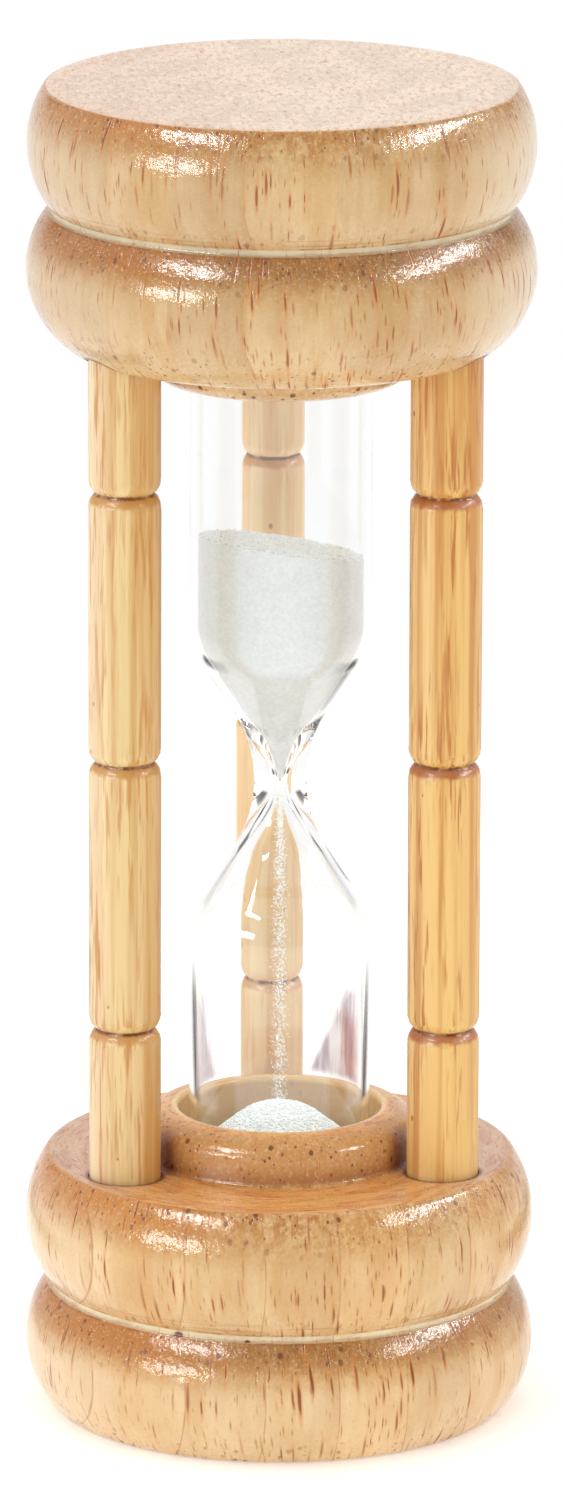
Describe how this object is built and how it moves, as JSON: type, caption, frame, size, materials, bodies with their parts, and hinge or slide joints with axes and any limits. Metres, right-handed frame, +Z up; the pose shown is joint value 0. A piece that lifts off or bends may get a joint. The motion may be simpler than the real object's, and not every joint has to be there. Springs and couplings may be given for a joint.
{
  "type": "hourglass",
  "caption": "Small wooden hourglass: double-beaded turned caps, grooved dowel posts, and a waisted glass vial of white sand held loose in collared sockets.",
  "frame": {"origin": "middle of the base cap's outer face, which stands on the table", "axes": "+Z up along the turned axis, -Y the front with two posts, +Y the back with one post"},
  "size_m": [0.034, 0.034, 0.09],
  "materials": {
    "cap_wood": "clear gloss lacquer over turned hardwood",
    "post_wood": "satin lacquer over straight-grained dowel",
    "clear_glass": "clear polished glass",
    "stopper_cork": "plain cork",
    "pad_felt": "pressed felt",
    "white_sand": "fine dry quartz sand"
  },
  "bodies": {
    "stand": {"base_cap": "cap_wood", "top_cap": "cap_wood", "post_left": "post_wood", "post_right": "post_wood", "post_back": "post_wood", "base_pad": "pad_felt", "top_pad": "pad_felt"},
    "vial": {"glass_vial": "clear_glass", "vial_stopper": "stopper_cork", "sand_stream": "white_sand"},
    "upper_sand": {"upper_sand": "white_sand"},
    "lower_sand": {"lower_sand": "white_sand"}
  },
  "joints": [
    {"name": "vial_spin", "type": "hinge", "parent": "stand", "child": "vial", "pos_m": [0, 0, 0.009], "axis": [0, 0, 1], "continuous": true},
    {"name": "sand_fall", "type": "slide", "parent": "vial", "child": "upper_sand", "axis": [0, 0, -1], "range_m": [-0.004, 0.004], "deforming": ["upper_sand"]},
    {"name": "sand_rise", "type": "slide", "parent": "vial", "child": "lower_sand", "axis": [0, 0, 1], "range_m": [-0.004, 0.004], "deforming": ["lower_sand", "sand_stream"]}
  ],
  "couplings": [
    {"joint": "sand_rise", "follows": "sand_fall", "ratio": 1}
  ]
}
